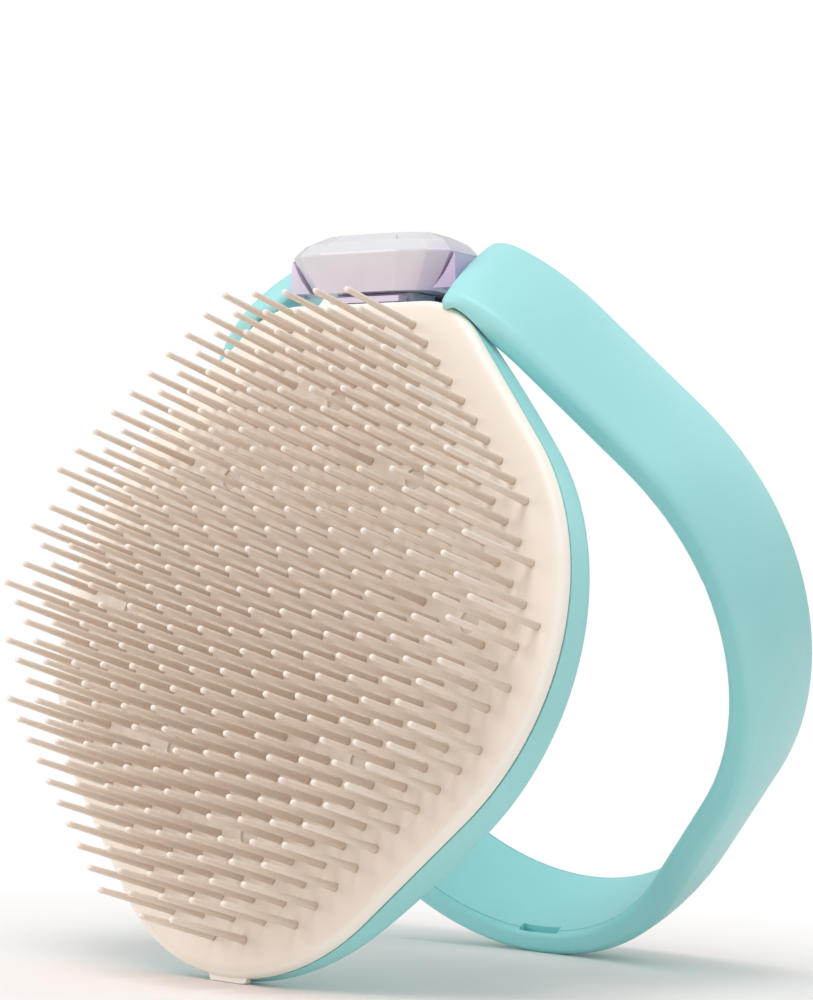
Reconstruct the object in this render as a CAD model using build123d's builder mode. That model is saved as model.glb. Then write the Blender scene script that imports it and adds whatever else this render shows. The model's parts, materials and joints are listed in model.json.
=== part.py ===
from build123d import *

import os
from math import asin, cos, degrees, radians, sin, sqrt

# A hair brush with lights. Its head leans back and its hoop handle, hinged at the top of the head, folds
# out behind it as an easel leg. Millimetres, +X across the head, -Y to the front, +Z up.

os.makedirs("parts", exist_ok=True)

# Driving dimensions of the head, which is drawn in its own leaning plane: x across, y up, z out of the face
HEAD_LEAN = 13.7
SIDE_CORNER = (58.0, -0.7)
SIDE_ROUND = 37.8
TOP_CORNER = (16.8, 44.8)
TOP_ROUND = 12.7
LOW_CORNER = (0.0, -62.7)
LOW_ROUND = 28.8
RIM_ROUND = 1.5
RIM_DEPTH = 1.7
SEAL_THICK = 0.4
SEAL_INSET = 0.5
PLATE_THICK = 3.2
WALL = 2.0
FIT = 0.15
DOME_DEPTH = 17.0
DOME_RADIUS = 100.0
DOME_CENTRE = -1.0
DOME_ROUND = 1.8
TAB_WIDTH = 6.6
TAB_REACH = 49.9
TAB_FRONT = 1.4
TAB_THICK = 1.0
TAB_ROUND = 0.6
TAB_CLEARANCE = 0.2
FOOT_FLAT = 0.15

# Bristles and windows: rows half a pitch apart, every other row shifted by half a pitch. The counts are the
# bristles in each row from the middle row outwards, and the windows' places are counted in pitches.
PITCH = 5.5
ROW_COUNTS = [16, 15, 14, 15, 14, 13, 14, 13, 12, 11, 10, 9, 8, 7, 6, 5]
LAST_ROW_COUNT = 2
WINDOW_COUNTS = [(0, 5.5), (3, 3.5), (5.5, 0), (3, -3.5), (0, -5.5), (-3, -3.5), (-5.5, 0), (-3, 3.5)]
BRISTLE_LENGTH = 14.7
BRISTLE_BASE = 0.52
BRISTLE_TIP = 0.38
BRISTLE_FOOT = 0.75
WINDOW_RADIUS = 1.6
WINDOW_FLANGE = 2.4
WINDOW_FLANGE_THICK = 0.8
WINDOW_SINK = 0.3

# Lights, board and battery in the head
TUBE_WALL = 0.8
TUBE_LENGTH = 1.4
BOARD_THICK = 1.0
BOARD_INSET = 9.0
LED_SIZE = 2.2
LED_THICK = 0.9
CHIP_SIZES = [(7.0, 7.0, 1.0), (5.0, 4.0, 1.2), (3.0, 3.0, 0.9)]
CHIP_SPOTS = [(0.0, 28.0), (-12.0, 27.0), (10.0, 28.0)]
TAPE_THICK = 0.5
CELL_WIDTH = 30.0
CELL_HEIGHT = 38.0
CELL_THICK = 4.2
CELL_CENTRE = -3.0
CONTACT_SPOTS = [(-4.5, -30.0), (4.5, -30.0)]
CONTACT_RADIUS = 1.75
CONTACT_START = 11.4
CONTACT_STEM = 0.8
LEAD_RADIUS = 0.5
LEAD_GAP = 6.0
LEAD_BEND = 1.2

# Case screws, in deep counterbores that soft plugs close
SCREW_SPOTS = [(28.0, 15.0), (-28.0, 15.0), (25.0, -17.0), (-25.0, -17.0)]
SCREW_RADIUS = 1.0
SCREW_HEAD = 1.9
SCREW_HEAD_THICK = 1.3
POST_RADIUS = 3.1
BOSS_RADIUS = 2.6
PLUG_THICK = 1.8

# Hoop handle, drawn in its own leaning plane: x across, y up, z towards its front edge
HOOP_LEAN = 28.2
HOOP_BACK = 40.3
HOOP_HALF_WIDTH = 48.6
HOOP_PAST_TAB = 4.0
HOOP_BOTTOM = TAB_REACH + HOOP_PAST_TAB
HOOP_TOP = 52.4
HIGH_FLANK = 46.2
HIGH_ANGLE = 40.0
LOW_FLANK = 47.2
LOW_ANGLE = 42.0
BAND_WIDTH = 17.4
BAND_OUTER = 2.8
BAND_INNER = 2.1
BAND_CROWN = 0.9
BAND_OUTER_ROUND = 1.7
BAND_INNER_ROUND = 1.3
BAND_WALL = 1.6
LINER_WIDTH = 15.4
LINER_LEDGE = 1.4
LINER_GAP = 0.1
LINER_THICK = 1.0
HALF_GAP = 14.4
END_SLANT = 0.18
END_WALL = 11.4
END_ROUND = 1.0
SLOT_WIDTH = 7.0
SLOT_FRONT = 0.5
SLOT_HEIGHT = 1.4
SLOT_DEPTH = 1.0
RELIEF = 0.35

# Hinge under the gem
PIN_UP = 45.2
PIN_BACK = 9.4
PIN_RADIUS = 1.0
PIN_CLEARANCE = 0.03
EAR_RADIUS = 2.3
EAR_THICK = 3.0
EAR_FOOT = 35.0
KNUCKLE_RADIUS = 2.2
KNUCKLE_HALF = 5.6
WASHER_THICK = 0.4
WASHER_GAP = 0.02
WASHER_RADIUS = 2.2

# Gem and what it presses, on an upright axis through the gem's centre
GEM_BACK = 17.4
GEM_TOP = 53.0
GEM_CROWN = 2.7
GEM_PAVILION = 5.4
GEM_PLAN = [(6.9, -6.8), (11.4, -5.9), (14.1, -4.1), (12.7, 3.9), (11.0, 5.6), (6.9, 6.6)]
GEM_STEP = 1.5
GEM_STEP_SHARE = 0.88
GEM_TABLE_SHARE = 0.66
GEM_FLOOR_SHARE = 0.76
GEM_TRAVEL = 0.5
GEM_CLEARANCE = 0.35
GEM_GIRDLE = 0.25
CAVITY_HALF_LENGTH = 7.0
CAVITY_HALF_DEPTH = 2.8
CAVITY_HEIGHT = 2.5
CARRIER_THICK = 1.2
CARRIER_FIT = 0.1
SMALL_BOARD_HALF_LENGTH = 5.6
SMALL_BOARD_HALF_DEPTH = 2.4
SMALL_BOARD_THICK = 0.6
SMALL_BOARD_DROP = 0.8
SWITCH_SIZE = 3.0
SWITCH_HEIGHT = 0.8
STEM_RADIUS = 0.7
STEM_CLEARANCE = 0.05
STEM_ENTRY = 0.1
PAD_SPOT = 2.8
PAD_RADIUS = 0.8
PAD_BORE = 0.4
GEM_LIGHT_SPOT = 4.7
GEM_LIGHT_SIZE = 1.3
GEM_LIGHT_THICK = 0.7

# Seat that carries the gem and joins the band's ends behind it, measured from the gem's girdle
SEAT_GAP = 0.1
SEAT_FRONT = -5.2
SEAT_LIP_BACK = -3.4
SEAT_LIP_HALF = 6.2
SEAT_LIP_TOP = -6.05
SEAT_UNDER = [(-5.2, -6.85), (-0.7, -7.8), (5.8, -7.8), (8.8, -6.7)]
BAR_FRONT = 5.0
BAR_BACK = 8.8
BAR_LOW = -6.7
BAR_TOP = -1.2
FOOT_START = 10.2
FOOT_FRONT = -3.8
FOOT_LOW = -5.1
FOOT_TOP = -0.4
TENON_START = 13.3
TENON_END = 17.2
TENON_WIDTH = 6.0
TENON_THICK = 1.8
SOCKET_FIT = 0.05

# Hoop centre line: straight flanks between round sides and ends
HIGH_COS = cos(radians(HIGH_ANGLE))
HIGH_SIN = sin(radians(HIGH_ANGLE))
LOW_COS = cos(radians(LOW_ANGLE))
LOW_SIN = sin(radians(LOW_ANGLE))
HIGH_SIDE_ARC = (HIGH_FLANK - HOOP_HALF_WIDTH * HIGH_COS) / (1 - HIGH_COS)
LOW_SIDE_ARC = (LOW_FLANK - HOOP_HALF_WIDTH * LOW_COS) / (1 - LOW_COS)
BOTTOM_ARC = (LOW_FLANK - HOOP_BOTTOM * LOW_SIN) / (1 - LOW_SIN)
TOP_ARC = (HIGH_FLANK - HOOP_TOP * HIGH_SIN) / (1 - HIGH_SIN)
BAND_HALF = BAND_WIDTH / 2
BAND_EDGE = BAND_OUTER - BAND_CROWN

# The hoop's section: x towards its front edge, y outwards
with BuildSketch() as band_section:
    with BuildLine():
        ThreePointArc((-BAND_HALF, BAND_EDGE), (0, BAND_OUTER), (BAND_HALF, BAND_EDGE))
        Line((BAND_HALF, BAND_EDGE), (BAND_HALF, -BAND_INNER))
        Line((BAND_HALF, -BAND_INNER), (-BAND_HALF, -BAND_INNER))
        Line((-BAND_HALF, -BAND_INNER), (-BAND_HALF, BAND_EDGE))
    make_face()
    fillet(band_section.vertices().group_by(Axis.Y)[-1], BAND_OUTER_ROUND)
    fillet(band_section.vertices().group_by(Axis.Y)[0], BAND_INNER_ROUND)

# How far the tilted section reaches below and behind the hoop's centre line
leaning_band = band_section.sketch.rotate(Axis.Z, HOOP_LEAN).bounding_box()
BAND_DROP = leaning_band.max.Y
BAND_BACK = leaning_band.max.X

# Both feet are on the floor, and the object's box is centred on the origin
LEAN_SIN = sin(radians(HEAD_LEAN))
LEAN_COS = cos(radians(HEAD_LEAN))
HOOP_SIN = sin(radians(HOOP_LEAN))
HOOP_COS = cos(radians(HOOP_LEAN))
LAST_ROW = len(ROW_COUNTS)
FRONT_REACH = BRISTLE_LENGTH * LEAN_COS + LAST_ROW * PITCH / 2 * LEAN_SIN
BACK_REACH = HOOP_BACK + HOOP_BOTTOM * HOOP_SIN + BAND_BACK
FACE_Y = (FRONT_REACH - BACK_REACH) / 2
FACE_Z = TAB_REACH * LEAN_COS + (TAB_FRONT + TAB_THICK) * LEAN_SIN - FOOT_FLAT
HOOP_Z = HOOP_BOTTOM * HOOP_COS + BAND_DROP - FOOT_FLAT

HEAD = Plane(origin=(0, FACE_Y, FACE_Z), x_dir=(1, 0, 0), z_dir=(0, -LEAN_COS, LEAN_SIN))
HOOP = Plane(origin=(0, FACE_Y + HOOP_BACK, HOOP_Z), x_dir=(1, 0, 0), z_dir=(0, -HOOP_COS, -HOOP_SIN))
OUTWARD = Axis(HEAD.origin, HEAD.z_dir)
SIDE = Plane(origin=HEAD.origin, x_dir=HEAD.y_dir, z_dir=(1, 0, 0))
PIN = HEAD.from_local_coords(Vector(0, PIN_UP, -PIN_BACK))
GEM = Plane(origin=(0, FACE_Y + GEM_BACK, FACE_Z + GEM_TOP - GEM_CROWN))
SEAT = Plane(origin=GEM.origin, x_dir=(0, 1, 0), z_dir=(1, 0, 0))

# Heights in the head, measured back from the face
SHELL_RIM = RIM_DEPTH + SEAL_THICK
TUBE_BACK = PLATE_THICK + WINDOW_FLANGE_THICK + TUBE_LENGTH
BOARD_BACK = TUBE_BACK + BOARD_THICK
WINDOWS = [(x * PITCH, y * PITCH) for x, y in WINDOW_COUNTS]
SHALLOW_SPOT = Vector(*SCREW_SPOTS[0]) - Vector(0, DOME_CENTRE)
DOME_AT_SCREW = DOME_DEPTH - DOME_RADIUS + sqrt(DOME_RADIUS ** 2 - SHALLOW_SPOT.length ** 2)
SCREW_SEAT = DOME_AT_SCREW - PLUG_THICK - FIT - SCREW_HEAD_THICK


def head_outline(inset=0.0):
    """Gives the head's outline, taken in by inset."""
    corners = [LOW_CORNER, SIDE_CORNER, TOP_CORNER, (-TOP_CORNER[0], TOP_CORNER[1])]
    corners.append((-SIDE_CORNER[0], SIDE_CORNER[1]))
    rounds = [LOW_ROUND, SIDE_ROUND, TOP_ROUND, TOP_ROUND, SIDE_ROUND]
    with BuildSketch() as outline:
        with BuildLine():
            FilletPolyline(*corners, radius=rounds, close=True)
        make_face()
        if inset:
            offset(amount=-inset)
    return outline.sketch


def bristle_spots():
    """Lists the bristles' places on the face, with the windows' places left free."""
    rows = {}
    for row, count in enumerate(ROW_COUNTS):
        rows[row] = count
        rows[-row] = count
    rows[LAST_ROW] = LAST_ROW_COUNT
    spots = []
    for row, count in rows.items():
        for step in range(count):
            spot = (step - (count - 1) / 2, -row / 2)
            if spot not in WINDOW_COUNTS:
                spots.append((spot[0] * PITCH, spot[1] * PITCH))
    return spots


def hoop_band(section, half_gap):
    """Sweeps a section round the hoop, open at the top by half_gap each side of the middle."""
    opening = degrees(asin(half_gap / TOP_ARC))
    high_centre = HOOP_HALF_WIDTH - HIGH_SIDE_ARC
    low_centre = HOOP_HALF_WIDTH - LOW_SIDE_ARC
    with BuildPart() as band:
        with BuildLine(HOOP) as line:
            top_left = CenterArc((0, HOOP_TOP - TOP_ARC), TOP_ARC, 90 + opening, 90 - HIGH_ANGLE - opening)
            high_left = CenterArc((-high_centre, 0), HIGH_SIDE_ARC, 180 - HIGH_ANGLE, HIGH_ANGLE)
            low_left = CenterArc((-low_centre, 0), LOW_SIDE_ARC, 180, LOW_ANGLE)
            bottom = CenterArc((0, BOTTOM_ARC - HOOP_BOTTOM), BOTTOM_ARC, 180 + LOW_ANGLE,
                               180 - 2 * LOW_ANGLE)
            low_right = CenterArc((low_centre, 0), LOW_SIDE_ARC, -LOW_ANGLE, LOW_ANGLE)
            high_right = CenterArc((high_centre, 0), HIGH_SIDE_ARC, 0, HIGH_ANGLE)
            top_right = CenterArc((0, HOOP_TOP - TOP_ARC), TOP_ARC, HIGH_ANGLE, 90 - HIGH_ANGLE - opening)
            Line(top_left @ 1, high_left @ 0)
            Line(low_left @ 1, bottom @ 0)
            Line(bottom @ 1, low_right @ 0)
            Line(high_right @ 1, top_right @ 0)
        with BuildSketch(Plane(origin=top_left @ 0, x_dir=HOOP.z_dir, z_dir=top_left % 0)):
            add(section)
        sweep(path=line.line)
    return band.part


def end_wedge(inset=0.0):
    """Gives the wedge between the band's two ends, narrower by inset at each side."""
    front = HALF_GAP + END_SLANT * BAND_WIDTH - inset
    back = HALF_GAP - END_SLANT * BAND_WIDTH - inset
    top = HOOP.from_local_coords(Vector(0, HOOP_TOP, 0))
    with BuildPart() as wedge:
        with BuildSketch(Plane(origin=top, x_dir=(1, 0, 0), z_dir=HOOP.y_dir)):
            Polygon((-front, -BAND_WIDTH), (front, -BAND_WIDTH), (back, BAND_WIDTH), (-back, BAND_WIDTH),
                    align=None)
        extrude(amount=BAND_WIDTH, both=True)
    return wedge.part


def gem_plan(share=1.0, grow=0.0):
    """Gives the gem's twelve-sided plan, made smaller by share or grown all round."""
    right = [(x * share, y * share) for x, y in GEM_PLAN]
    with BuildSketch() as plan:
        Polygon(*right, *[(-x, y) for x, y in reversed(right)], align=None)
        if grow:
            offset(amount=grow, kind=Kind.INTERSECTION)
    return plan.sketch


def save(part, label):
    """Names a finished piece and writes it to its own file."""
    part.label = label
    export_step(part, f"parts/{label}.step")


# Bristle plate: rounded rim, a lip inside the shell's wall, window holes, bosses and the tab
with BuildPart() as bristle_plate:
    with BuildSketch(HEAD.offset(-RIM_DEPTH)):
        add(head_outline())
    extrude(amount=RIM_DEPTH)
    fillet(bristle_plate.faces().sort_by(OUTWARD)[-1].edges(), RIM_ROUND)
    with BuildSketch(HEAD.offset(-PLATE_THICK)):
        add(head_outline(WALL + FIT))
    extrude(amount=PLATE_THICK - RIM_DEPTH)
    with BuildSketch(HEAD.offset(-TAB_FRONT)):
        with Locations((0, -(TAB_REACH + LOW_ROUND) / 2)):
            RectangleRounded(TAB_WIDTH, TAB_REACH - LOW_ROUND, TAB_ROUND)
    extrude(amount=-TAB_THICK)
    split(bisect_by=Plane.XY)
    with BuildSketch(HEAD.offset(-PLATE_THICK)):
        with Locations(*SCREW_SPOTS):
            Circle(BOSS_RADIUS)
    extrude(amount=PLATE_THICK - TUBE_BACK)
    with BuildSketch(HEAD.offset(-TUBE_BACK)):
        with Locations(*SCREW_SPOTS):
            Circle(SCREW_RADIUS)
    extrude(amount=TUBE_BACK - RIM_DEPTH, mode=Mode.SUBTRACT)
    with BuildSketch(HEAD):
        with Locations(*WINDOWS):
            Circle(WINDOW_RADIUS)
    extrude(amount=-PLATE_THICK, mode=Mode.SUBTRACT)
save(bristle_plate.part, "bristle_plate")

# Bristles: slender tapered pins with ball tips and a small foot
with BuildPart() as bristle:
    with BuildSketch(Plane.XZ):
        with BuildLine():
            Polyline((0, 0), (BRISTLE_FOOT, 0), (BRISTLE_BASE, BRISTLE_FOOT))
            Line((BRISTLE_BASE, BRISTLE_FOOT), (BRISTLE_TIP, BRISTLE_LENGTH - BRISTLE_TIP))
            CenterArc((0, BRISTLE_LENGTH - BRISTLE_TIP), BRISTLE_TIP, 0, 90)
            Line((0, BRISTLE_LENGTH), (0, 0))
        make_face()
    revolve(axis=Axis.Z)
bristles = Compound([bristle.part.moved(HEAD.location * Location((x, y, 0))) for x, y in bristle_spots()])
save(bristles, "bristles")

# Window lenses, dropped in from behind
with BuildPart() as led_windows:
    with BuildSketch(HEAD.offset(-PLATE_THICK)):
        with Locations(*WINDOWS):
            Circle(WINDOW_RADIUS)
    extrude(amount=PLATE_THICK - WINDOW_SINK)
    with BuildSketch(HEAD.offset(-PLATE_THICK)):
        with Locations(*WINDOWS):
            Circle(WINDOW_FLANGE)
    extrude(amount=-WINDOW_FLANGE_THICK)
save(led_windows.part, "led_windows")

# White wells that keep each light to its own window
with BuildPart() as light_tubes:
    with BuildSketch(HEAD.offset(-TUBE_BACK)):
        with Locations(*WINDOWS):
            Circle(WINDOW_FLANGE)
            Circle(WINDOW_FLANGE - TUBE_WALL, mode=Mode.SUBTRACT)
    extrude(amount=TUBE_LENGTH)
save(light_tubes.part, "light_tubes")

with BuildPart() as leds:
    with BuildSketch(HEAD.offset(-TUBE_BACK)):
        with Locations(*WINDOWS):
            Rectangle(LED_SIZE, LED_SIZE)
    extrude(amount=LED_THICK)
save(leds.part, "leds")

# Light board, clamped between the plate's bosses and the shell's posts
with BuildPart() as led_board:
    with BuildSketch(HEAD.offset(-BOARD_BACK)):
        add(head_outline(BOARD_INSET))
        with Locations(*SCREW_SPOTS):
            Circle(SCREW_RADIUS + FIT, mode=Mode.SUBTRACT)
    extrude(amount=BOARD_THICK)
save(led_board.part, "led_board")

with BuildPart() as board_chips:
    for (width, height, thick), spot in zip(CHIP_SIZES, CHIP_SPOTS):
        with BuildSketch(HEAD.offset(-BOARD_BACK)):
            with Locations(spot):
                Rectangle(width, height)
        extrude(amount=-thick)
save(board_chips.part, "board_chips")

# Flat cell on foam tape, with its two leads up to the board
with BuildPart() as battery_tape:
    with BuildSketch(HEAD.offset(-BOARD_BACK)):
        with Locations((0, CELL_CENTRE)):
            Rectangle(CELL_WIDTH / 2, CELL_HEIGHT * 0.8)
    extrude(amount=-TAPE_THICK)
save(battery_tape.part, "battery_tape")

CELL_FRONT = BOARD_BACK + TAPE_THICK
with BuildPart() as battery:
    with BuildSketch(HEAD.offset(-CELL_FRONT)):
        with Locations((0, CELL_CENTRE)):
            RectangleRounded(CELL_WIDTH, CELL_HEIGHT, CELL_THICK / 3)
    extrude(amount=-CELL_THICK)
save(battery.part, "battery")

with BuildPart() as battery_leads:
    for side in (-LEAD_GAP / 2, LEAD_GAP / 2):
        start = (CELL_CENTRE + CELL_HEIGHT / 2, -CELL_FRONT - CELL_THICK / 2)
        corner = (start[0] + 2 * LEAD_BEND, start[1])
        with BuildLine(SIDE.offset(side)) as lead:
            FilletPolyline(start, corner, (corner[0], -BOARD_BACK), radius=LEAD_BEND)
        with BuildSketch(Plane(origin=lead.line @ 0, z_dir=lead.line % 0)):
            Circle(LEAD_RADIUS)
        sweep(path=lead.line)
save(battery_leads.part, "battery_leads")

# Soft seal between the plate's rim and the shell's wall, open for the tab
with BuildPart() as tab_slot:
    with BuildSketch(HEAD.offset(-TAB_FRONT - TAB_THICK - TAB_CLEARANCE)):
        with Locations((0, -TAB_REACH)):
            Rectangle(TAB_WIDTH + 2 * TAB_CLEARANCE, TAB_REACH - LOW_ROUND)
    extrude(amount=TAB_THICK + 2 * TAB_CLEARANCE)

with BuildPart() as plate_seal:
    with BuildSketch(HEAD.offset(-SHELL_RIM)):
        add(head_outline(SEAL_INSET))
        add(head_outline(WALL), mode=Mode.SUBTRACT)
    extrude(amount=SEAL_THICK)
    add(tab_slot.part, mode=Mode.SUBTRACT)
save(plate_seal.part, "plate_seal")

# Rear shell: a domed shell with posts for the case screws and two ears for the hinge pin
DOME_SPOT = HEAD.from_local_coords(Vector(0, DOME_CENTRE, DOME_RADIUS - DOME_DEPTH))
with BuildPart() as shell_body:
    with BuildSketch(HEAD.offset(-DOME_DEPTH)):
        add(head_outline())
    extrude(amount=DOME_DEPTH - SHELL_RIM)
    with Locations(DOME_SPOT):
        Sphere(DOME_RADIUS, mode=Mode.INTERSECT)
    fillet(shell_body.faces().filter_by(GeomType.SPHERE).edges(), DOME_ROUND)

with BuildPart() as shell_room:
    with BuildSketch(HEAD.offset(-DOME_DEPTH)):
        add(head_outline(WALL))
    extrude(amount=DOME_DEPTH)
    with Locations(DOME_SPOT):
        Sphere(DOME_RADIUS - WALL, mode=Mode.INTERSECT)

with BuildPart() as shell_posts:
    with BuildSketch(HEAD.offset(-BOARD_BACK)):
        with Locations(*SCREW_SPOTS):
            Circle(POST_RADIUS)
    extrude(amount=BOARD_BACK - DOME_DEPTH)
    with Locations(DOME_SPOT):
        Sphere(DOME_RADIUS - WALL / 2, mode=Mode.INTERSECT)

EAR_START = KNUCKLE_HALF + WASHER_THICK
FOOT_BACK = DOME_DEPTH - DOME_RADIUS + sqrt((DOME_RADIUS - WALL / 2) ** 2 - (EAR_FOOT - DOME_CENTRE) ** 2)
with BuildPart() as rear_shell:
    add(shell_body.part)
    add(shell_room.part, mode=Mode.SUBTRACT)
    add(shell_posts.part)
    for start in (EAR_START, -EAR_START - EAR_THICK):
        with BuildSketch(SIDE.offset(start)) as ear:
            with Locations((PIN_UP, -PIN_BACK)):
                Circle(EAR_RADIUS)
            with Locations((EAR_FOOT, -FOOT_BACK)):
                Circle(WALL / 2)
            make_hull()
            with Locations((PIN_UP, -PIN_BACK)):
                Circle(PIN_RADIUS, mode=Mode.SUBTRACT)
        extrude(amount=EAR_THICK)
    with BuildSketch(HEAD.offset(-BOARD_BACK)):
        with Locations(*SCREW_SPOTS):
            Circle(SCREW_RADIUS + FIT)
    extrude(amount=BOARD_BACK - DOME_DEPTH, mode=Mode.SUBTRACT)
    with BuildSketch(HEAD.offset(-SCREW_SEAT)):
        with Locations(*SCREW_SPOTS):
            Circle(SCREW_HEAD + FIT)
    extrude(amount=SCREW_SEAT - DOME_DEPTH, mode=Mode.SUBTRACT)
    with BuildSketch(HEAD.offset(-BOARD_BACK)):
        with Locations(*CONTACT_SPOTS):
            Circle(CONTACT_RADIUS)
    extrude(amount=BOARD_BACK - DOME_DEPTH, mode=Mode.SUBTRACT)
    with BuildSketch(SIDE):
        with Locations((PIN_UP, -PIN_BACK)):
            Circle(WASHER_RADIUS + RELIEF)
    extrude(amount=EAR_START, both=True, mode=Mode.SUBTRACT)
    add(tab_slot.part, mode=Mode.SUBTRACT)
save(rear_shell.part, "rear_shell")

# Case screws from the back through shell and board into the plate
with BuildPart() as case_screws:
    with BuildSketch(HEAD.offset(-SCREW_SEAT)):
        with Locations(*SCREW_SPOTS):
            Circle(SCREW_RADIUS)
    extrude(amount=SCREW_SEAT - RIM_DEPTH)
    with BuildSketch(HEAD.offset(-SCREW_SEAT)):
        with Locations(*SCREW_SPOTS):
            Circle(SCREW_HEAD)
    extrude(amount=-SCREW_HEAD_THICK)
    with BuildSketch(HEAD.offset(-SCREW_SEAT - SCREW_HEAD_THICK)):
        with Locations(*SCREW_SPOTS):
            RegularPolygon(SCREW_HEAD / 2, 6)
    extrude(amount=SCREW_HEAD_THICK / 2, mode=Mode.SUBTRACT)
save(case_screws.part, "case_screws")

with BuildPart() as screw_plugs:
    with BuildSketch(HEAD.offset(-SCREW_SEAT - SCREW_HEAD_THICK - FIT)):
        with Locations(*SCREW_SPOTS):
            Circle(SCREW_HEAD + FIT)
    extrude(amount=SCREW_SEAT + SCREW_HEAD_THICK + FIT - DOME_DEPTH)
    with Locations(DOME_SPOT):
        Sphere(DOME_RADIUS - FIT, mode=Mode.INTERSECT)
save(screw_plugs.part, "screw_plugs")

# Charging contacts: round faces flush with the dome, on stems that reach the board
with BuildPart() as charge_contacts:
    with BuildSketch(HEAD.offset(-CONTACT_START)):
        with Locations(*CONTACT_SPOTS):
            Circle(CONTACT_RADIUS)
    extrude(amount=CONTACT_START - DOME_DEPTH)
    with BuildSketch(HEAD.offset(-BOARD_BACK)):
        with Locations(*CONTACT_SPOTS):
            Circle(CONTACT_STEM)
    extrude(amount=BOARD_BACK - CONTACT_START)
    with Locations(DOME_SPOT):
        Sphere(DOME_RADIUS, mode=Mode.INTERSECT)
save(charge_contacts.part, "charge_contacts")

# Hinge: a steel pin held in the ears, with a washer each side of the knuckle
with BuildPart() as hinge_pin:
    with BuildSketch(SIDE.offset(-EAR_START - EAR_THICK)):
        with Locations((PIN_UP, -PIN_BACK)):
            Circle(PIN_RADIUS)
    extrude(amount=2 * (EAR_START + EAR_THICK))
save(hinge_pin.part, "hinge_pin")

with BuildPart() as hinge_washers:
    for start in (KNUCKLE_HALF + WASHER_GAP, -EAR_START):
        with BuildSketch(SIDE.offset(start)):
            with Locations((PIN_UP, -PIN_BACK)):
                Circle(WASHER_RADIUS)
                Circle(PIN_RADIUS, mode=Mode.SUBTRACT)
        extrude(amount=WASHER_THICK - WASHER_GAP)
save(hinge_washers.part, "hinge_washers")

# Hoop shell: a channel all the way round, solid at both ends, with sockets for the seat's tenons
LINER_FACE = BAND_INNER - LINER_THICK
with BuildSketch() as recess_section:
    with Locations((0, -BAND_INNER)):
        Rectangle(LINER_WIDTH + 2 * LINER_GAP, 2 * LINER_THICK)

with BuildSketch() as room_section:
    with Locations((0, (BAND_OUTER - BAND_WALL - LINER_FACE) / 2)):
        Rectangle(LINER_WIDTH - 2 * LINER_LEDGE, BAND_OUTER - BAND_WALL + LINER_FACE)

with BuildSketch() as liner_section:
    add(band_section.sketch)
    with Locations((0, -BAND_INNER)):
        Rectangle(LINER_WIDTH, 2 * LINER_THICK, mode=Mode.INTERSECT)

# The slot for the plate's tab, at the bottom of the hoop's inner side
with BuildPart() as tab_socket:
    with BuildSketch(HOOP.offset(BAND_HALF - SLOT_FRONT)):
        with Locations((0, BAND_INNER - HOOP_BOTTOM)):
            Rectangle(SLOT_WIDTH, 2 * SLOT_DEPTH)
    extrude(amount=-SLOT_HEIGHT)

# The room that the head's top takes up when the hoop is open
with BuildPart() as head_room:
    with BuildSketch(HEAD.offset(RELIEF)):
        add(head_outline(-RELIEF))
    extrude(amount=-RELIEF - DOME_DEPTH)
    with Locations(DOME_SPOT):
        Sphere(DOME_RADIUS + RELIEF, mode=Mode.INTERSECT)

TENON_RISE = HOOP_TOP - TOP_ARC + sqrt(TOP_ARC ** 2 - ((TENON_START + TENON_END) / 2) ** 2)
with BuildPart() as hoop_shell:
    add(hoop_band(band_section.sketch, HALF_GAP / 2))
    add(end_wedge(), mode=Mode.SUBTRACT)
    ends = hoop_shell.faces().filter_by(GeomType.PLANE).filter_by(lambda face: abs(face.normal_at().X) > 0.9)
    fillet(ends.edges(), END_ROUND)
    add(hoop_band(recess_section.sketch, HALF_GAP + END_WALL), mode=Mode.SUBTRACT)
    add(hoop_band(room_section.sketch, HALF_GAP + END_WALL), mode=Mode.SUBTRACT)
    add(tab_socket.part, mode=Mode.SUBTRACT)
    for end in (1, -1):
        root = HOOP.from_local_coords(Vector(end * TENON_START, TENON_RISE, 0))
        with BuildSketch(Plane(origin=root, x_dir=HOOP.z_dir, z_dir=(end, 0, 0))):
            Rectangle(TENON_WIDTH + 2 * SOCKET_FIT, TENON_THICK + 2 * SOCKET_FIT)
        extrude(amount=TENON_END - TENON_START + SOCKET_FIT, mode=Mode.SUBTRACT)
    add(head_room.part, mode=Mode.SUBTRACT)
    split(bisect_by=Plane.XY)
save(hoop_shell.part, "hoop_shell")

with BuildPart() as hoop_liner:
    add(hoop_band(liner_section.sketch, HALF_GAP + END_WALL + LINER_GAP))
    add(tab_socket.part, mode=Mode.SUBTRACT)
    add(head_room.part, mode=Mode.SUBTRACT)
save(hoop_liner.part, "hoop_liner")

# Gem seat: a knuckle on the pin, a lip under the gem's front, a bar behind it, and feet at the band's ends
with BuildPart() as gem_well:
    with BuildSketch(GEM.offset(-GEM_PAVILION - GEM_TRAVEL)):
        add(gem_plan(GEM_FLOOR_SHARE, GEM_CLEARANCE))
    with BuildSketch(GEM.offset(-GEM_GIRDLE - GEM_TRAVEL)):
        add(gem_plan(1.0, GEM_CLEARANCE))
    loft(ruled=True)
    with BuildSketch(GEM.offset(-GEM_GIRDLE - GEM_TRAVEL)):
        add(gem_plan(1.0, GEM_CLEARANCE))
    extrude(amount=GEM_PAVILION)

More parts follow.
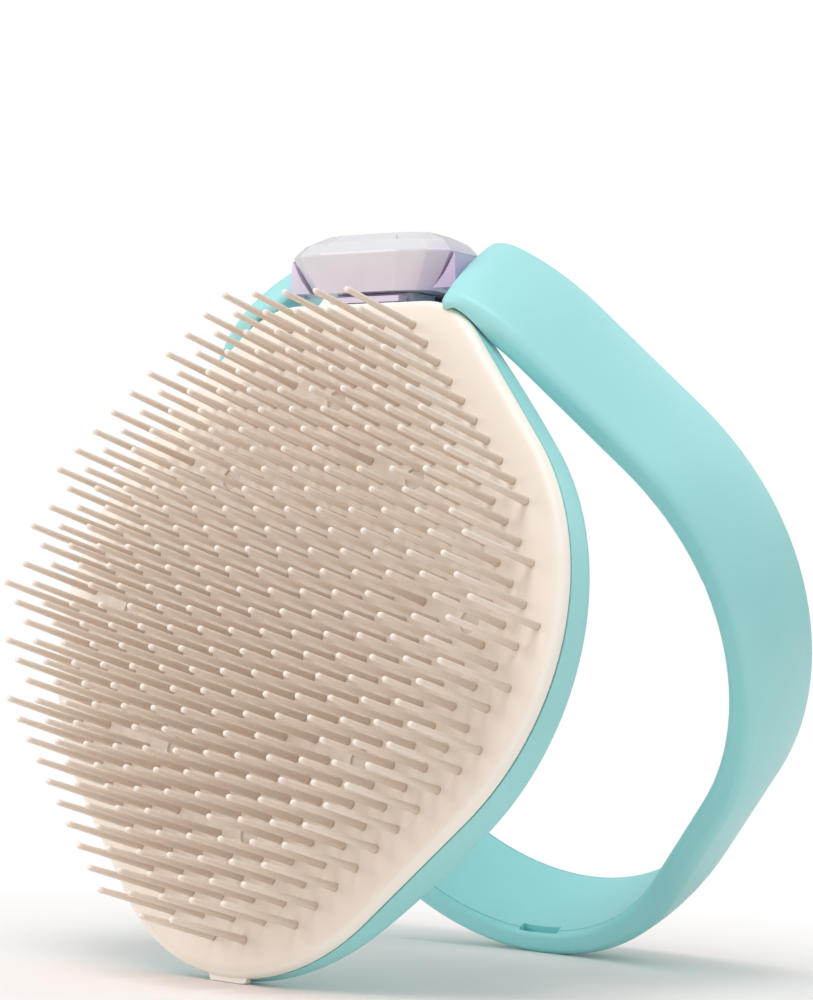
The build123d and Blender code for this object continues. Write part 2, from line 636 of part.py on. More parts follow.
pin_spot = SEAT.to_local_coords(PIN)
FLOOR = -GEM_PAVILION - SMALL_BOARD_DROP
with BuildPart() as gem_seat:
    with BuildSketch(SEAT):
        Polygon(*SEAT_UNDER, (BAR_BACK, FLOOR), (SEAT_FRONT, FLOOR), align=None)
        with Locations((pin_spot.X, pin_spot.Y)):
            Circle(KNUCKLE_RADIUS)
    extrude(amount=KNUCKLE_HALF, both=True)
    with BuildSketch(SEAT):
        Polygon((SEAT_FRONT, SEAT_UNDER[0][1]), (SEAT_LIP_BACK, SEAT_UNDER[0][1]),
                (SEAT_LIP_BACK, SEAT_LIP_TOP), (SEAT_FRONT, SEAT_LIP_TOP), align=None)
    extrude(amount=SEAT_LIP_HALF, both=True)
    with BuildSketch(SEAT):
        Polygon((BAR_FRONT, BAR_LOW), (BAR_BACK, BAR_LOW), (BAR_BACK, BAR_TOP), (BAR_FRONT, BAR_TOP),
                align=None)
    extrude(amount=TENON_END, both=True)
    for end in (1, -1):
        with BuildSketch(SEAT.offset(end * FOOT_START)):
            Polygon((FOOT_FRONT, FOOT_LOW), (BAR_BACK, FOOT_LOW), (BAR_BACK, FOOT_TOP),
                    (FOOT_FRONT, FOOT_TOP), align=None)
        extrude(amount=end * (TENON_END - FOOT_START))
    add(end_wedge(SEAT_GAP), mode=Mode.INTERSECT)
    for end in (1, -1):
        root = HOOP.from_local_coords(Vector(end * TENON_START, TENON_RISE, 0))
        with BuildSketch(Plane(origin=root, x_dir=HOOP.z_dir, z_dir=(end, 0, 0))):
            Rectangle(TENON_WIDTH, TENON_THICK)
        extrude(amount=TENON_END - TENON_START)
    add(gem_well.part, mode=Mode.SUBTRACT)
    with BuildSketch(SEAT):
        with Locations((pin_spot.X, pin_spot.Y)):
            Circle(PIN_RADIUS + PIN_CLEARANCE)
    extrude(amount=KNUCKLE_HALF, both=True, mode=Mode.SUBTRACT)
save(gem_seat.part, "gem_seat")

# Under the gem: a small board with its tact switch and two lights
with BuildPart() as switch_board:
    with BuildSketch(GEM.offset(FLOOR)):
        Rectangle(2 * SMALL_BOARD_HALF_LENGTH, 2 * SMALL_BOARD_HALF_DEPTH)
    extrude(amount=SMALL_BOARD_THICK)
save(switch_board.part, "switch_board")

BOARD_TOP = FLOOR + SMALL_BOARD_THICK
SWITCH_TOP = BOARD_TOP + SWITCH_HEIGHT
CARRIER_LOW = CAVITY_HEIGHT - GEM_PAVILION - CARRIER_THICK
with BuildPart() as tact_switch:
    with BuildSketch(GEM.offset(BOARD_TOP)):
        Rectangle(SWITCH_SIZE, SWITCH_SIZE)
        Circle(STEM_RADIUS + STEM_CLEARANCE, mode=Mode.SUBTRACT)
    extrude(amount=SWITCH_HEIGHT)
save(tact_switch.part, "tact_switch")

with BuildPart() as gem_lights:
    with BuildSketch(GEM.offset(BOARD_TOP)):
        with Locations((GEM_LIGHT_SPOT, 0), (-GEM_LIGHT_SPOT, 0)):
            Rectangle(GEM_LIGHT_SIZE, GEM_LIGHT_SIZE)
    extrude(amount=GEM_LIGHT_THICK)
save(gem_lights.part, "gem_lights")

with BuildPart() as button_pads:
    with BuildSketch(GEM.offset(BOARD_TOP)):
        with Locations((PAD_SPOT, 0), (-PAD_SPOT, 0)):
            Circle(PAD_RADIUS)
            Circle(PAD_BORE, mode=Mode.SUBTRACT)
    extrude(amount=CARRIER_LOW - BOARD_TOP)
save(button_pads.part, "button_pads")

# The gem with its white inner carrier, and the switch's stem that moves with them
with BuildPart() as switch_stem:
    with BuildSketch(GEM.offset(SWITCH_TOP - STEM_ENTRY)):
        Circle(STEM_RADIUS)
    extrude(amount=CARRIER_LOW - SWITCH_TOP + STEM_ENTRY)
save(switch_stem.part, "switch_stem")

with BuildPart() as gem_carrier:
    with BuildSketch(GEM.offset(CARRIER_LOW)):
        Rectangle(2 * (CAVITY_HALF_LENGTH - CARRIER_FIT), 2 * (CAVITY_HALF_DEPTH - CARRIER_FIT))
    extrude(amount=CARRIER_THICK)
save(gem_carrier.part, "gem_carrier")

with BuildPart() as gem_button:
    for height, share in [(-GEM_PAVILION, GEM_FLOOR_SHARE), (-GEM_GIRDLE, 1.0), (0, 1.0),
                          (GEM_STEP, GEM_STEP_SHARE), (GEM_CROWN, GEM_TABLE_SHARE)]:
        with BuildSketch(GEM.offset(height)):
            add(gem_plan(share))
    loft(ruled=True)
    with BuildSketch(GEM.offset(-GEM_PAVILION)):
        Rectangle(2 * CAVITY_HALF_LENGTH, 2 * CAVITY_HALF_DEPTH)
    extrude(amount=CAVITY_HEIGHT, mode=Mode.SUBTRACT)
save(gem_button.part, "gem_button")
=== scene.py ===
import json
from math import cos, pi, radians, sin, sqrt

import bmesh
import bpy
from mathutils import Matrix, Vector


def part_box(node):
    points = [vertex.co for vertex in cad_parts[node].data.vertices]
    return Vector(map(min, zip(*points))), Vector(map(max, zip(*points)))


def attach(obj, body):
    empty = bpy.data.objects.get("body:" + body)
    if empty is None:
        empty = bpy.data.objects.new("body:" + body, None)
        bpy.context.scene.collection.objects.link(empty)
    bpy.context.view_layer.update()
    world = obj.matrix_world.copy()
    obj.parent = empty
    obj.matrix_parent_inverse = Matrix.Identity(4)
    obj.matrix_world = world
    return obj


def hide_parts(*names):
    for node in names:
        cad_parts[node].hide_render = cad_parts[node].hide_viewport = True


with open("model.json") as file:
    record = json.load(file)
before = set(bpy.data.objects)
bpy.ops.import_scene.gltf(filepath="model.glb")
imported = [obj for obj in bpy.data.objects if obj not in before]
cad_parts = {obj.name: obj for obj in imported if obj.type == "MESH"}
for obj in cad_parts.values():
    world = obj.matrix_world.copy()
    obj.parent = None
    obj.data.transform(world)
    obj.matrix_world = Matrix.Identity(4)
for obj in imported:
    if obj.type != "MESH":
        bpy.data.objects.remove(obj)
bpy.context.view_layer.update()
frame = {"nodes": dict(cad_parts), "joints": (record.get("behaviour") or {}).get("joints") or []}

NODES = frame["nodes"]
JOINTS = {joint["name"]: joint for joint in frame["joints"]}

# Camera, placed from the hinge pin: the photograph's viewing angle and framing
PIN = Vector(JOINTS["hoop_hinge"]["pos_m"])
CAMERA_FROM_PIN = Vector((0.28307, -0.33993, -0.04201))
CAMERA_FORWARD = Vector((-0.63532, 0.77224, 0.00368))
CAMERA_DOWN = Vector((0.02662, 0.02666, -0.99929))
CAMERA_LENS = 113.97
CAMERA_SENSOR = 36.0
CAMERA_SHIFT = 0.11
CAMERA_NEAREST = 0.01

# Lamps: place, size and power of each, round the middle of the brush
WORLD_LEVEL = 0.56
LAMP_AIM = (0, 0, 0.05)
LAMPS = {
    "key_lamp": ((0.1, -0.3, 0.8), 0.45, 3.0),
    "fill_lamp": ((-0.55, -0.6, 0.3), 0.5, 1.7),
    "back_lamp": ((0.2, 0.7, 0.6), 0.6, 1.0),
}

# Directions of the leaning head and of the hoop, which leans the other way
HEAD_LEAN = radians(13.7)
HOOP_LEAN = radians(28.2)
HEAD_OUT = Vector((0.0, -cos(HEAD_LEAN), sin(HEAD_LEAN)))
HEAD_UP = Vector((0.0, sin(HEAD_LEAN), cos(HEAD_LEAN)))
HOOP_BACKWARD = Vector((0.0, cos(HOOP_LEAN), sin(HOOP_LEAN)))
HOOP_UP = Vector((0.0, -sin(HOOP_LEAN), cos(HOOP_LEAN)))


def linear(code):
    """Turns a colour written as six hex digits into linear values."""
    values = []
    for start in (0, 2, 4):
        value = int(code[start:start + 2], 16) / 255
        values.append(value / 12.92 if value <= 0.04045 else ((value + 0.055) / 1.055) ** 2.4)
    return (*values, 1.0)


class Finish:
    """A node material under construction, with short calls for the nodes that the finishes share."""

    def __init__(self, name):
        self.material = bpy.data.materials.new(name)
        self.material.use_nodes = True
        self.tree = self.material.node_tree
        self.tree.nodes.clear()
        self.shader = self.tree.nodes.new("ShaderNodeBsdfPrincipled")
        self.output = self.tree.nodes.new("ShaderNodeOutputMaterial")
        self.tree.links.new(self.shader.outputs["BSDF"], self.output.inputs["Surface"])
        self.place = self.tree.nodes.new("ShaderNodeTexCoord").outputs["Object"]

    def set(self, **values):
        """Sets uniform values on the shader's own sockets."""
        for name, value in values.items():
            self.shader.inputs[name.replace("_", " ")].default_value = value
        return self

    def link(self, source, target):
        """Joins an output to an input."""
        self.tree.links.new(source, target)

    def noise(self, scale, detail=2.0, stretch=None):
        """Gives a noise over the object's own space, stretched where asked."""
        node = self.tree.nodes.new("ShaderNodeTexNoise")
        node.inputs["Scale"].default_value = scale
        node.inputs["Detail"].default_value = detail
        place = self.place
        if stretch:
            mapping = self.tree.nodes.new("ShaderNodeMapping")
            mapping.inputs["Scale"].default_value = stretch
            self.link(place, mapping.inputs["Vector"])
            place = mapping.outputs["Vector"]
        self.link(place, node.inputs["Vector"])
        return node.outputs["Fac"]

    def along(self, direction, start, end):
        """Gives 0 to 1 along a direction of the object's own space."""
        dot = self.tree.nodes.new("ShaderNodeVectorMath")
        dot.operation = "DOT_PRODUCT"
        dot.inputs[1].default_value = direction
        self.link(self.place, dot.inputs[0])
        return self.between(dot.outputs["Value"], start, end, 0.0, 1.0)

    def between(self, source, low, high, to_low, to_high):
        """Maps one range of values onto another, held at its ends."""
        node = self.tree.nodes.new("ShaderNodeMapRange")
        node.inputs["From Min"].default_value = low
        node.inputs["From Max"].default_value = high
        node.inputs["To Min"].default_value = to_low
        node.inputs["To Max"].default_value = to_high
        self.link(source, node.inputs["Value"])
        return node.outputs["Result"]

    def mix(self, factor, first, second):
        """Mixes two colours, each a code or an output, by a factor."""
        node = self.tree.nodes.new("ShaderNodeMix")
        node.data_type = "RGBA"
        self.link(factor, node.inputs["Factor"])
        for value, socket in ((first, node.inputs["A"]), (second, node.inputs["B"])):
            if isinstance(value, str):
                socket.default_value = linear(value)
            else:
                self.link(value, socket)
        return node.outputs["Result"]

    def colour(self, source):
        """Gives the shader its colour."""
        self.link(source, self.shader.inputs["Base Color"])
        return self

    def rough(self, source, low, high):
        """Lets the roughness wander between two values."""
        self.link(self.between(source, 0.3, 0.7, low, high), self.shader.inputs["Roughness"])
        return self

    def bump(self, source, depth):
        """Raises the surface by a depth in metres where the source is high."""
        node = self.tree.nodes.new("ShaderNodeBump")
        node.inputs["Distance"].default_value = depth
        node.inputs["Strength"].default_value = 1.0
        self.link(source, node.inputs["Height"])
        self.link(node.outputs["Normal"], self.shader.inputs["Normal"])
        return self


def moulded(name, light, dark, low=0.36, high=0.46, grain=2600, depth=0.000004, **values):
    """Gives a moulded plastic: faint flow marks in its colour, a fine grain and uneven gloss."""
    finish = Finish(name)
    flow = finish.noise(45, 3.0)
    finish.colour(finish.mix(finish.between(flow, 0.35, 0.65, 0.0, 1.0), light, dark))
    finish.rough(finish.noise(160, 3.0), low, high)
    finish.bump(finish.noise(grain, 2.0), depth)
    return finish.set(**values)


def metal(name, light, dark, low, high, stretch, **values):
    """Gives a metal with drawn lines along one direction."""
    finish = Finish(name)
    lines = finish.noise(900, 3.0, stretch)
    finish.colour(finish.mix(lines, light, dark))
    finish.rough(lines, low, high)
    finish.bump(lines, 0.000006)
    return finish.set(Metallic=1.0, **values)


def circuit(name):
    """Gives a circuit board: green lacquer over darker tracks, with small bright pads."""
    finish = Finish(name)
    tracks = finish.tree.nodes.new("ShaderNodeTexBrick")
    tracks.inputs["Scale"].default_value = 260
    tracks.inputs["Mortar Size"].default_value = 0.06
    for socket, code in (("Color1", "1C6A43"), ("Color2", "22754B"), ("Mortar", "2F9460")):
        tracks.inputs[socket].default_value = linear(code)
    finish.link(finish.place, tracks.inputs["Vector"])
    pads = finish.tree.nodes.new("ShaderNodeTexVoronoi")
    pads.inputs["Scale"].default_value = 420
    finish.link(finish.place, pads.inputs["Vector"])
    spots = finish.between(pads.outputs["Distance"], 0.12, 0.16, 1.0, 0.0)
    finish.colour(finish.mix(spots, tracks.outputs["Color"], "D8CFA6"))
    finish.rough(finish.noise(300, 2.0), 0.25, 0.4)
    finish.bump(tracks.outputs["Fac"], 0.00002)
    return finish


def dress(name, finish):
    """Puts a finish on a node."""
    mesh = NODES[name].data
    mesh.materials.clear()
    mesh.materials.append(finish.material)


def reach_out(name):
    """Gives how far a node reaches along the head's outward direction."""
    return max(vertex.co.dot(HEAD_OUT) for vertex in NODES[name].data.vertices)


# The head's face, which the rim's painted highlight and the bristles' painted root shade and tip highlight
# are measured from
FACE = reach_out("bristle_plate")
BRISTLE_LENGTH = reach_out("bristles") - FACE
RIM_HIGHLIGHT_START = 0.00002
RIM_HIGHLIGHT_END = 0.0004
SHAFT_LIT_FROM = 0.75
TIP_LIT_FROM = 0.93
LEAD_SPLIT = 0.0005

turquoise = moulded("turquoise satin plastic", "A8E7E8", "A2E3E5", 0.34, 0.42, Specular_IOR_Level=0.45)
cream = moulded("cream plastic", "F8EEE2", "F5E9DD", 0.4, 0.5)
# The plate's rounded rim is painted lighter than its face, a painted highlight where the bevel turns
# towards the light
painted_rim_highlight = cream.along(HEAD_OUT, FACE - RIM_HIGHLIGHT_START, FACE - RIM_HIGHLIGHT_END)
cream.colour(cream.mix(painted_rim_highlight, cream.mix(cream.noise(45, 3.0), "F8EEE2", "F4E8DB"), "FFFAF0"))
white = moulded("white plastic", "F4F3F0", "ECEAE6", 0.4, 0.5)
rubber = moulded("grey seal rubber", "8E9296", "7F8388", 0.6, 0.75)
foam = moulded("foam tape", "D9D6CE", "C9C5BA", 0.8, 0.9, 1500, 0.00003)
epoxy = moulded("black chip epoxy", "1D1E20", "26282A", 0.4, 0.6)
solder_green = circuit("green circuit board")
steel = metal("drawn pin steel", "C9CCCF", "A9ADB1", 0.2, 0.35, (0.05, 1, 1))
zinc = metal("screw steel", "B8BBBE", "8F9397", 0.3, 0.45, (1, 1, 1))
gold = metal("contact gold", "E9C46C", "D2A84E", 0.18, 0.3, (1, 1, 1))
phosphor = moulded("light phosphor", "F4E9A8", "EFE08C", 0.3, 0.4)

bristle = moulded("bristle plastic", "E8D9CA", "E2D2C2", 0.34, 0.44, Specular_IOR_Level=0.6)
# Painted shade darkens the bristles towards their roots among the pins, and a painted highlight lightens
# their ball tips
painted_tip_highlight = bristle.along(HEAD_OUT, FACE + TIP_LIT_FROM * BRISTLE_LENGTH, FACE + BRISTLE_LENGTH)
painted_root_shade = bristle.along(HEAD_OUT, FACE, FACE + SHAFT_LIT_FROM * BRISTLE_LENGTH)
bristle.colour(bristle.mix(painted_tip_highlight, bristle.mix(painted_root_shade, "DCCDBE", "EFE3D6"), "FCF1E6"))

lens = moulded("milky window lens", "E6DACD", "DDCFC0", 0.16, 0.24)
lens.set(Transmission_Weight=0.12, IOR=1.49, Coat_Weight=0.4)

# Foil round the cell, with soft creases
foil = metal("cell foil", "C8CBD0", "B2B6BC", 0.22, 0.4, (1, 1, 1))
foil.bump(foil.noise(140, 4.0), 0.00012)

# Leads: red on one side of the middle, black on the other
lead_cover = Finish("lead covers")
lead_side = lead_cover.along((1, 0, 0), -LEAD_SPLIT, LEAD_SPLIT)
lead_cover.colour(lead_cover.mix(lead_side, "232325", "B3261E"))
lead_cover.rough(lead_cover.noise(500, 2.0), 0.35, 0.5)
lead_cover.bump(lead_cover.noise(1800, 2.0), 0.000004)

# Gem and seat: white at the top and lilac below, the gem's lilac a painted glow from the seat, with painted
# shade deepest at the lower end beside the hoop's cheek
gem_low, gem_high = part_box("gem_button")
FADE_START = gem_high.z - 0.0022
END_TILT = 0.8
END_START = 0.006 - END_TILT * gem_low.z
END_STOP = gem_high.x - END_TILT * (gem_low.z - 0.0005)


def tinted(name, top, low, end_shade_colour, rough_low, rough_high):
    """Gives the lilac plastics their colour from top to bottom and towards the right end: lilac lower down,
    painted in the gem as glow from the seat and darker lower down on the seat, and a painted shade towards
    the right end.
    """
    finish = Finish(name)
    # Lilac lower down: a painted glow from the seat in the gem, and darker lower down on the seat
    depth = finish.along((0, 0, -1), -FADE_START, -gem_low.z)
    # Painted shade towards the lower right end, beside the hoop's cheek
    end = finish.along((1, 0, -END_TILT), END_START, END_STOP)
    cloud = finish.between(finish.noise(90, 2.0), 0.3, 0.7, 0.85, 1.0)
    painted_glow_and_darkening_below = finish.tree.nodes.new("ShaderNodeMath")
    painted_glow_and_darkening_below.operation = "MULTIPLY"
    finish.link(depth, painted_glow_and_darkening_below.inputs[0])
    finish.link(cloud, painted_glow_and_darkening_below.inputs[1])
    finish.colour(finish.mix(end, finish.mix(painted_glow_and_darkening_below.outputs["Value"], top, low), end_shade_colour))
    finish.rough(finish.noise(200, 2.0), rough_low, rough_high)
    finish.bump(finish.noise(1200, 2.0), 0.000003)
    return finish


gem = tinted("frosted gem plastic", "DFDFE3", "E4DBEA", "BDA6D2", 0.14, 0.22)
gem.set(Coat_Weight=0.5, Coat_Roughness=0.08)
gem.set(Subsurface_Weight=0.2, Subsurface_Scale=0.002, Subsurface_Radius=(1.0, 0.9, 1.1))
lilac = tinted("lilac seat plastic", "E1D6E8", "D6C9E0", "B8A2CB", 0.3, 0.4)

# Points of a copied mesh that lie closer than this are one point
WELD = 0.000001


def placed(name, data):
    """Adds an object with its data to the scene."""
    item = bpy.data.objects.new(name, data)
    bpy.context.scene.collection.objects.link(item)
    return item


def welded(name):
    """Copies a node's mesh into an editable form with its shared points joined."""
    shape = bmesh.new()
    shape.from_mesh(NODES[name].data)
    bmesh.ops.remove_doubles(shape, verts=shape.verts, dist=WELD)
    return shape


def dressed_copy(name, shape, node, body, finish, crease):
    """Puts a piece made from an edited copy of a node in its place, sharp above an angle in degrees."""
    mesh = bpy.data.meshes.new(name)
    shape.to_mesh(mesh)
    shape.free()
    if mesh.has_custom_normals:
        mesh.attributes.remove(mesh.attributes["custom_normal"])
    mesh.shade_smooth()
    mesh.set_sharp_from_angle(angle=radians(crease))
    mesh.materials.clear()
    mesh.materials.append(finish.material)
    piece = placed(name, mesh)
    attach(piece, body)
    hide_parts(node)
    return piece


# The hoop's two ends roll over towards the gem, on cuts that follow the ends' slant
HOOP_CENTRE = Vector((0.0, 0.0156662, 0.0527964))
END_HALF_GAP = 0.0144
END_SLANT = 0.18
TOP_ARC_HEIGHT = 0.01735
INNER_RADIUS = 0.03295
BAND_THICK = 0.0049
NOSE_LENGTH = 0.0052
NOSE_DROP = 0.7
NOSE_FULLNESS = 0.98
NOSE_TAPER = 1.5
NOSE_CUTS = 9
HOOP_CREASE = 35
hoop_shape = welded("hoop_shell")
for side in (1, -1):
    cut_normal = Vector((side, 0, 0)) + HOOP_BACKWARD * END_SLANT
    for cut in range(1, NOSE_CUTS + 1):
        reach = END_HALF_GAP + NOSE_LENGTH * cut / NOSE_CUTS
        whole = hoop_shape.verts[:] + hoop_shape.edges[:] + hoop_shape.faces[:]
        bmesh.ops.bisect_plane(hoop_shape, geom=whole, plane_no=cut_normal,
                               plane_co=HOOP_CENTRE + Vector((side * reach, 0, 0)))
for vertex in hoop_shape.verts:
    offset = vertex.co - HOOP_CENTRE
    from_end = abs(offset.x) + END_SLANT * offset.dot(HOOP_BACKWARD) - END_HALF_GAP
    rise = offset.dot(HOOP_UP) - TOP_ARC_HEIGHT
    if from_end < NOSE_LENGTH and rise > 0:
        outward = Vector((offset.x, 0, 0)) + HOOP_UP * rise
        depth = min(max((outward.length - INNER_RADIUS) / BAND_THICK, 0.0), 1.0)
        left = NOSE_LENGTH - max(from_end, 0.0)
        drop = NOSE_LENGTH - sqrt(NOSE_LENGTH ** 2 - left ** 2 * NOSE_FULLNESS)
        vertex.co -= outward.normalized() * (drop * NOSE_DROP * depth ** NOSE_TAPER)
dressed_copy("hoop_rolled_ends", hoop_shape, "hoop_shell", "hoop", turquoise, HOOP_CREASE)

# The gem with softened edges between its facets
GEM_EDGE = 0.0002
GEM_EDGE_STEPS = 3
GEM_EDGE_FROM = 6
GEM_CREASE = 180
gem_shape = welded("gem_button")
gem_piece = dressed_copy("gem_facets", gem_shape, "gem_button", "gem", gem, GEM_CREASE)
softened = gem_piece.modifiers.new("softened edges", "BEVEL")
softened.width = GEM_EDGE
softened.segments = GEM_EDGE_STEPS
softened.limit_method = "ANGLE"
softened.angle_limit = radians(GEM_EDGE_FROM)
softened.harden_normals = True

# Bristles without their small feet, as slender pins with ball tips, in the solids' own places; the
# profile gives a radius at each height above the face
PITCH = 0.0055
ROW_COUNTS = [16, 15, 14, 15, 14, 13, 14, 13, 12, 11, 10, 9, 8, 7, 6, 5]
LAST_ROW_COUNT = 2
WINDOW_COUNTS = [(0, 5.5), (3, 3.5), (5.5, 0), (3, -3.5), (0, -5.5), (-3, -3.5), (-5.5, 0), (-3, 3.5)]
PIN_PROFILE = [
    (0.00060, -0.0002), (0.00056, 0.0006), (0.00052, 0.0030), (0.00047, 0.0080), (0.00043, 0.0120),
    (0.00040, 0.0135), (0.00043, 0.0139), (0.00044, 0.0142), (0.00038, 0.01445), (0.00022, 0.01458),
]
PIN_SIDES = 12
face_low, face_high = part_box("led_windows")
window_middle = (face_low + face_high) / 2
FACE_CENTRE = window_middle + HEAD_OUT * (FACE - window_middle.dot(HEAD_OUT))


def bristle_places():
    """Lists the bristles' places on the face, across and up, with the windows' places left free."""
    rows = list(enumerate(ROW_COUNTS))
    rows += [(-row, count) for row, count in enumerate(ROW_COUNTS) if row]
    rows.append((len(ROW_COUNTS), LAST_ROW_COUNT))
    spots = [(step - (count - 1) / 2, -row / 2) for row, count in rows for step in range(count)]
    return [(x * PITCH, y * PITCH) for x, y in spots if (x, y) not in WINDOW_COUNTS]


pin_points, pin_faces = [], []
for across, upward in bristle_places():
    root = FACE_CENTRE + Vector((across, 0, 0)) + HEAD_UP * upward
    first = len(pin_points)
    for radius, height in PIN_PROFILE:
        for side in range(PIN_SIDES):
            turn = 2 * pi * side / PIN_SIDES
            pin_points.append(root + HEAD_OUT * height + Vector((radius * cos(turn), 0, 0))
                              + HEAD_UP * radius * sin(turn))
    pin_points.append(root + HEAD_OUT * BRISTLE_LENGTH)
    for ring in range(len(PIN_PROFILE) - 1):
        for side in range(PIN_SIDES):
            here, after = first + ring * PIN_SIDES + side, first + ring * PIN_SIDES + (side + 1) % PIN_SIDES
            pin_faces.append((here, after, after + PIN_SIDES, here + PIN_SIDES))
    last = first + (len(PIN_PROFILE) - 1) * PIN_SIDES
    for side in range(PIN_SIDES):
        pin_faces.append((last + side, last + (side + 1) % PIN_SIDES, len(pin_points) - 1))
    pin_faces.append(tuple(first + side for side in reversed(range(PIN_SIDES))))
pins_mesh = bpy.data.meshes.new("bristle_pins")
pins_mesh.from_pydata(pin_points, [], pin_faces)
pins_mesh.shade_smooth()
pins_mesh.materials.append(bristle.material)
pins = placed("bristle_pins", pins_mesh)
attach(pins, "head")
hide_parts("bristles")

for node, finish in (
    ("hoop_shell", turquoise), ("hoop_liner", turquoise), ("rear_shell", turquoise),
    ("bristle_plate", cream), ("bristles", bristle), ("gem_seat", lilac), ("gem_button", gem),
    ("light_tubes", white), ("gem_carrier", white), ("switch_stem", white), ("plate_seal", rubber),
    ("battery_tape", foam), ("board_chips", epoxy), ("tact_switch", epoxy), ("led_board", solder_green),
    ("switch_board", solder_green), ("screw_plugs", turquoise), ("led_windows", lens), ("leds", phosphor),
    ("battery", foil), ("battery_leads", lead_cover), ("case_screws", zinc), ("charge_contacts", gold),
    ("hinge_pin", steel), ("hinge_washers", zinc), ("gem_lights", phosphor), ("button_pads", rubber),
):
    dress(node, finish)

# A rim round the small board under the gem, inside the gem's hollow, which closes the seat's sides
RIM_OUT = (0.00655, 0.0027, 0.0006)
RIM_IN = (0.00562, 0.00242, 0.0002)
RIM_SINK = 0.0006
RIM_HEIGHT = 0.00135
RIM_STEPS = 6
board_low, board_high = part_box("switch_board")
board_middle = (board_low + board_high) / 2
rim_mesh = bpy.data.meshes.new("board_rim")
rim = placed("board_rim", rim_mesh)


def rounded_ring(half_x, half_y, corner, height):
    """Lists the points of a rectangle with rounded corners round the small board, at a height."""
    points = []
    for quarter, (side_x, side_y) in enumerate(((1, 1), (-1, 1), (-1, -1), (1, -1))):
        for step in range(RIM_STEPS + 1):
            turn = (quarter + step / RIM_STEPS) * pi / 2
            points.append((board_middle.x + side_x * (half_x - corner) + corner * cos(turn),
                           board_middle.y + side_y * (half_y - corner) + corner * sin(turn), height))
    return points


rim_low = board_low.z - RIM_SINK
rim_high = rim_low + RIM_HEIGHT
rings = [rounded_ring(*RIM_OUT, rim_low), rounded_ring(*RIM_OUT, rim_high),
         rounded_ring(*RIM_IN, rim_high), rounded_ring(*RIM_IN, rim_low)]
ring_size = len(rings[0])
rim_faces = []
for ring in range(len(rings)):
    following = (ring + 1) % len(rings)
    for point in range(ring_size):
        after = (point + 1) % ring_size
        rim_faces.append((ring * ring_size + point, ring * ring_size + after,
                          following * ring_size + after, following * ring_size + point))
rim_mesh.from_pydata([point for ring in rings for point in ring], [], rim_faces)
rim_mesh.materials.append(lilac.material)
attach(rim, "hoop")

# Floor, which turns into the white background a little way from the feet
FLOOR_HALF = 6.0
FADE_NEAR = 0.04
FADE_FAR = 0.12
FADE_LEAST = 0.05
floor_mesh = bpy.data.meshes.new("studio_floor")
floor_mesh.from_pydata([(-FLOOR_HALF, -FLOOR_HALF, 0), (FLOOR_HALF, -FLOOR_HALF, 0),
                        (FLOOR_HALF, FLOOR_HALF, 0), (-FLOOR_HALF, FLOOR_HALF, 0)], [], [(0, 1, 2, 3)])
floor = placed("studio_floor", floor_mesh)

floor_finish = Finish("studio floor")
floor_finish.colour(floor_finish.mix(floor_finish.noise(4, 2.0), "F4EDEA", "F7F0ED"))
floor_finish.set(Roughness=0.9, Specular_IOR_Level=0.0)
glow = floor_finish.tree.nodes.new("ShaderNodeEmission")
rays = floor_finish.tree.nodes.new("ShaderNodeLightPath")
blend = floor_finish.tree.nodes.new("ShaderNodeMixShader")
reach = floor_finish.tree.nodes.new("ShaderNodeVectorMath")
reach.operation = "LENGTH"
floor_finish.link(floor_finish.place, reach.inputs[0])
far = floor_finish.between(reach.outputs["Value"], FADE_NEAR, FADE_FAR, FADE_LEAST, 1.0)
seen = floor_finish.tree.nodes.new("ShaderNodeMath")
seen.operation = "MULTIPLY"
floor_finish.link(far, seen.inputs[0])
floor_finish.link(rays.outputs["Is Camera Ray"], seen.inputs[1])
floor_finish.link(seen.outputs["Value"], blend.inputs["Fac"])
floor_finish.link(floor_finish.shader.outputs["BSDF"], blend.inputs[1])
floor_finish.link(glow.outputs["Emission"], blend.inputs[2])
floor_finish.link(blend.outputs["Shader"], floor_finish.output.inputs["Surface"])
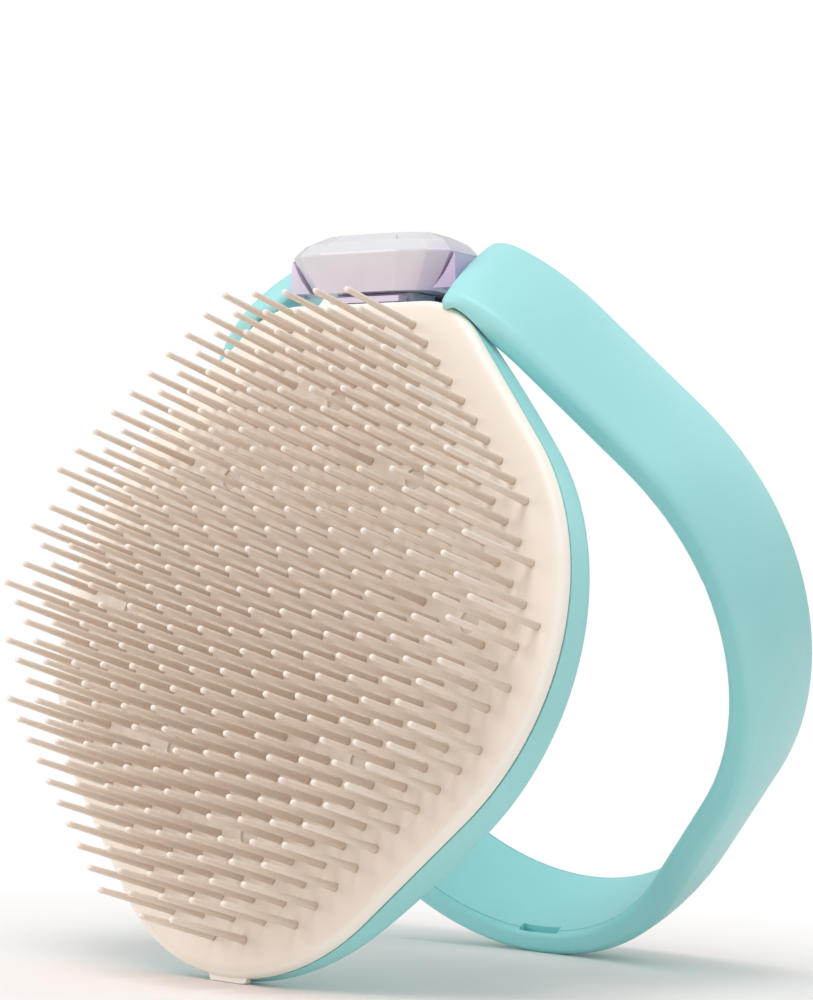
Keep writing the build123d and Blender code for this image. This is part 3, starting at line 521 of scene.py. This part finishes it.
floor_mesh.materials.append(floor_finish.material)

# World, soft for the light and plain white behind and through the pieces
world = bpy.data.worlds.new("studio")
bpy.context.scene.world = world
world.use_nodes = True
sky = world.node_tree
sky.nodes.clear()
soft = sky.nodes.new("ShaderNodeBackground")
soft.inputs["Strength"].default_value = WORLD_LEVEL
soft.inputs["Color"].default_value = (1, 1, 1, 1)
plain = sky.nodes.new("ShaderNodeBackground")
plain.inputs["Color"].default_value = (1, 1, 1, 1)
plain.inputs["Strength"].default_value = 1.0
sky_rays = sky.nodes.new("ShaderNodeLightPath")
either = sky.nodes.new("ShaderNodeMath")
either.operation = "MAXIMUM"
sky.links.new(sky_rays.outputs["Is Camera Ray"], either.inputs[0])
sky.links.new(sky_rays.outputs["Is Transmission Ray"], either.inputs[1])
chosen = sky.nodes.new("ShaderNodeMixShader")
sky.links.new(either.outputs["Value"], chosen.inputs["Fac"])
sky.links.new(soft.outputs["Background"], chosen.inputs[1])
sky.links.new(plain.outputs["Background"], chosen.inputs[2])
sky_out = sky.nodes.new("ShaderNodeOutputWorld")
sky.links.new(chosen.outputs["Shader"], sky_out.inputs["Surface"])

for name, (place, size, power) in LAMPS.items():
    light = bpy.data.lights.new(name, "AREA")
    light.size = size
    light.energy = power
    holder = placed(name, light)
    holder.location = place
    holder.rotation_euler = (Vector(LAMP_AIM) - Vector(place)).to_track_quat("-Z", "Y").to_euler()

# Camera
view = bpy.data.cameras.new("camera")
view.sensor_fit = "VERTICAL"
view.sensor_height = CAMERA_SENSOR
view.sensor_width = CAMERA_SENSOR
view.lens = CAMERA_LENS
view.shift_y = CAMERA_SHIFT
view.clip_start = CAMERA_NEAREST
camera = placed("camera", view)
up = -CAMERA_DOWN.normalized()
back = -CAMERA_FORWARD.normalized()
right = up.cross(back).normalized()
up = back.cross(right)
turned = Matrix((right, up, back)).transposed().to_4x4()
camera.matrix_world = Matrix.Translation(PIN + CAMERA_FROM_PIN) @ turned
bpy.context.scene.camera = camera
bpy.context.scene.view_settings.view_transform = "Standard"
